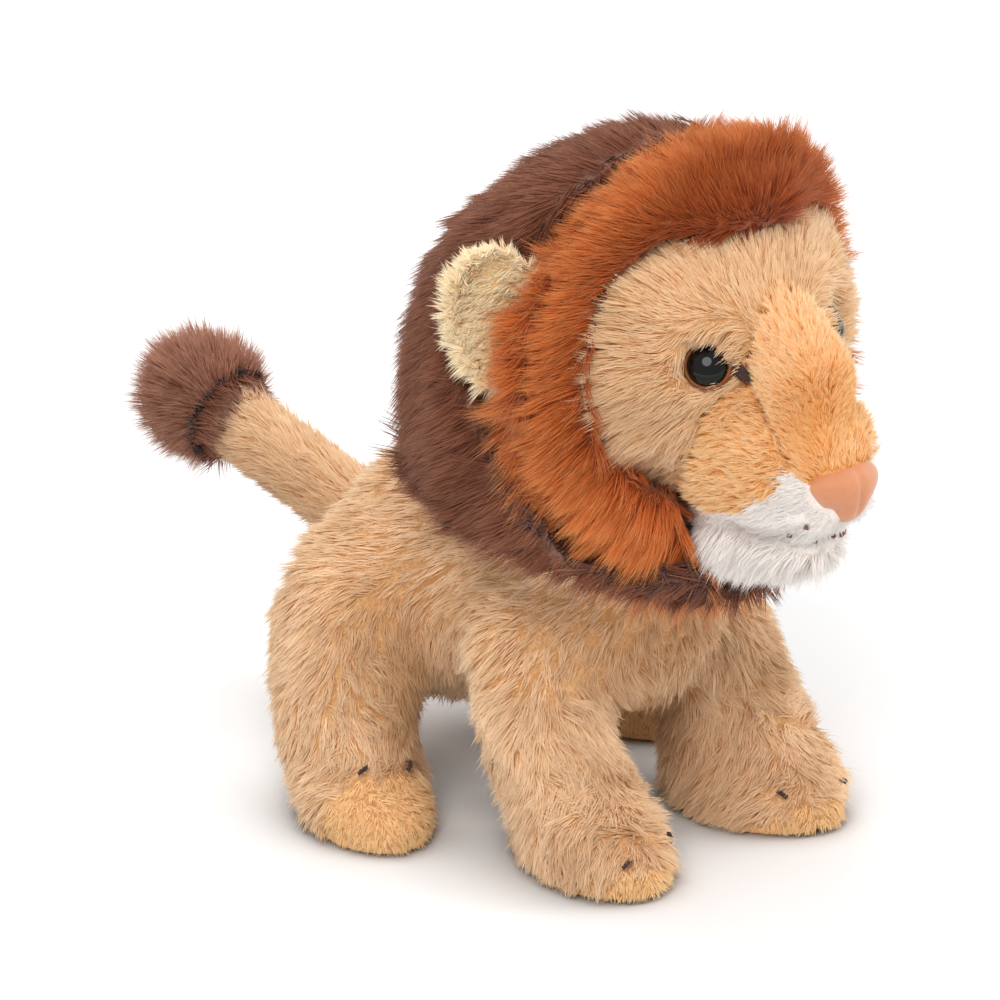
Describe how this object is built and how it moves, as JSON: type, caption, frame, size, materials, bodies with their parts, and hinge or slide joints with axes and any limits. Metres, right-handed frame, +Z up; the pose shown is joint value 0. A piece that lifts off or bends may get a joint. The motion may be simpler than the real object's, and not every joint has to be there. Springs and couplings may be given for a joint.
{
  "type": "plush lion",
  "caption": "Stuffed lion toy standing on its paws, with a long-pile mane in two colours, a flexing head, ears and tail.",
  "frame": {"origin": "on the floor, under the middle of the toy's box", "axes": "+Z up, the lion faces -Y, its left side is +X"},
  "size_m": [0.127, 0.241, 0.185],
  "materials": {
    "tan_plush": "short-pile tan plush",
    "face_plush": "short-pile cream-tan plush",
    "sole_plush": "very short pile, peach orange",
    "filling": "loose polyester fibre",
    "bridge_plush": "short-pile light orange plush",
    "white_plush": "short-pile white plush",
    "nose_satin": "peach satin, soft sheen",
    "rust_pile": "long rust-orange pile",
    "brown_pile": "long taupe-brown pile",
    "ear_plush": "curly cream plush",
    "eye_plastic": "glossy black dome with a brown rim",
    "lock_plastic": "moulded washer"
  },
  "bodies": {
    "body": {"body_side_left": "tan_plush", "body_side_right": "tan_plush", "belly_gusset": "tan_plush", "fore_sole_left": "sole_plush", "fore_sole_right": "sole_plush", "hind_sole_left": "sole_plush", "hind_sole_right": "sole_plush", "torso_filling": "filling", "fore_leg_filling_left": "filling", "fore_leg_filling_right": "filling", "hind_leg_filling_left": "filling", "hind_leg_filling_right": "filling"},
    "neck": {"neck_filling": "filling"},
    "head": {"head_filling": "filling", "cheek_left": "face_plush", "cheek_right": "face_plush", "nose_bridge": "bridge_plush", "muzzle_side_left": "bridge_plush", "muzzle_side_right": "bridge_plush", "upper_lip_left": "white_plush", "upper_lip_right": "white_plush", "chin": "white_plush", "nose": "nose_satin", "eye_left": "eye_plastic", "eye_right": "eye_plastic", "eye_lock_left": "lock_plastic", "eye_lock_right": "lock_plastic", "mane_ring": "rust_pile", "mane_hood": "brown_pile"},
    "ear_left": {"ear_front_left": "ear_plush", "ear_back_left": "ear_plush"},
    "ear_right": {"ear_front_right": "ear_plush", "ear_back_right": "ear_plush"},
    "tail_root": {"tail_root_filling": "filling"},
    "tail": {"tail_cover": "tan_plush", "tail_filling": "filling", "tail_tuft": "brown_pile"}
  },
  "joints": [
    {"name": "neck_turn", "type": "hinge", "parent": "body", "child": "neck", "pos_m": [0, -0.03896, 0.082], "axis": [0, 0, 1], "range_deg": [-15, 15], "stiffness_Nm_per_rad": 2},
    {"name": "head_nod", "type": "hinge", "parent": "neck", "child": "head", "pos_m": [0, -0.03896, 0.082], "axis": [1, 0, 0], "range_deg": [-8, 8], "stiffness_Nm_per_rad": 4},
    {"name": "ear_left_fold", "type": "hinge", "parent": "head", "child": "ear_left", "pos_m": [0.039, -0.04596, 0.143], "axis": [0.1034, 0.0931, 0.9903], "range_deg": [-12, 12], "stiffness_Nm_per_rad": 0.05},
    {"name": "ear_right_fold", "type": "hinge", "parent": "head", "child": "ear_right", "pos_m": [-0.039, -0.04596, 0.143], "axis": [-0.1034, 0.0931, 0.9903], "range_deg": [-12, 12], "stiffness_Nm_per_rad": 0.05},
    {"name": "tail_swing", "type": "hinge", "parent": "body", "child": "tail_root", "pos_m": [0, 0.04704, 0.05], "axis": [0, -0.2588, 0.9659], "range_deg": [-25, 25], "stiffness_Nm_per_rad": 0.3},
    {"name": "tail_lift", "type": "hinge", "parent": "tail_root", "child": "tail", "pos_m": [0, 0.04704, 0.05], "axis": [1, 0, 0], "range_deg": [-15, 25], "stiffness_Nm_per_rad": 0.3}
  ]
}
